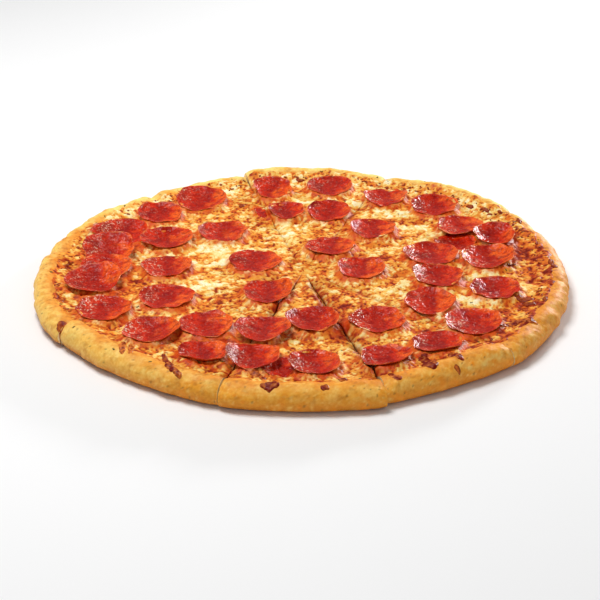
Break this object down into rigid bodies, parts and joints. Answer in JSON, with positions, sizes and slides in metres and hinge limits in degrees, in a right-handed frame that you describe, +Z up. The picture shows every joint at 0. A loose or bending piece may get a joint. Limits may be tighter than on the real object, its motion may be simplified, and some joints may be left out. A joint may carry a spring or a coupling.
{
  "type": "pepperoni pizza",
  "caption": "Round baked pizza cut into wedges that still lie together, with a raised crust rim, melted cheese, and cupped and overlapping pepperoni slices.",
  "frame": {"origin": "middle of the pizza's bounding box, at the flat underside of the dough", "axes": "+Z up from the flat underside; -Y towards the side seen nearest in the picture; +X to the right in the picture"},
  "size_m": [0.3582, 0.357, 0.023],
  "materials": {
    "dough": "baked golden crust, dry and slightly uneven",
    "cheese": "melted and browned in spots, moist",
    "pepperoni": "oily cured meat"
  },
  "bodies": {
    "root": {"dough_01": "dough", "dough_02": "dough", "dough_03": "dough", "dough_04": "dough", "dough_05": "dough", "dough_06": "dough", "dough_07": "dough", "dough_08": "dough", "dough_09": "dough", "dough_10": "dough", "cheese_01": "cheese", "cheese_02": "cheese", "cheese_03": "cheese", "cheese_04": "cheese", "cheese_05": "cheese", "cheese_06": "cheese", "cheese_07": "cheese", "cheese_08": "cheese", "cheese_09": "cheese", "cheese_10": "cheese", "pepperoni_01": "pepperoni", "pepperoni_02": "pepperoni", "pepperoni_03": "pepperoni", "pepperoni_04": "pepperoni", "pepperoni_05": "pepperoni", "pepperoni_06": "pepperoni", "pepperoni_07": "pepperoni", "pepperoni_08": "pepperoni", "pepperoni_09": "pepperoni", "pepperoni_10": "pepperoni", "pepperoni_11": "pepperoni", "pepperoni_12": "pepperoni", "pepperoni_13": "pepperoni", "pepperoni_14": "pepperoni", "pepperoni_15": "pepperoni", "pepperoni_16": "pepperoni", "pepperoni_17": "pepperoni", "pepperoni_18": "pepperoni", "pepperoni_19": "pepperoni", "pepperoni_20": "pepperoni", "pepperoni_21": "pepperoni", "pepperoni_22": "pepperoni", "pepperoni_23": "pepperoni", "pepperoni_24": "pepperoni", "pepperoni_25": "pepperoni", "pepperoni_26": "pepperoni", "pepperoni_27": "pepperoni", "pepperoni_28": "pepperoni", "pepperoni_29": "pepperoni", "pepperoni_30": "pepperoni", "pepperoni_31": "pepperoni", "pepperoni_32": "pepperoni", "pepperoni_33": "pepperoni", "pepperoni_34": "pepperoni", "pepperoni_35": "pepperoni", "pepperoni_36": "pepperoni", "pepperoni_37": "pepperoni", "pepperoni_38": "pepperoni", "pepperoni_39": "pepperoni", "pepperoni_40": "pepperoni"}
  },
  "joints": []
}
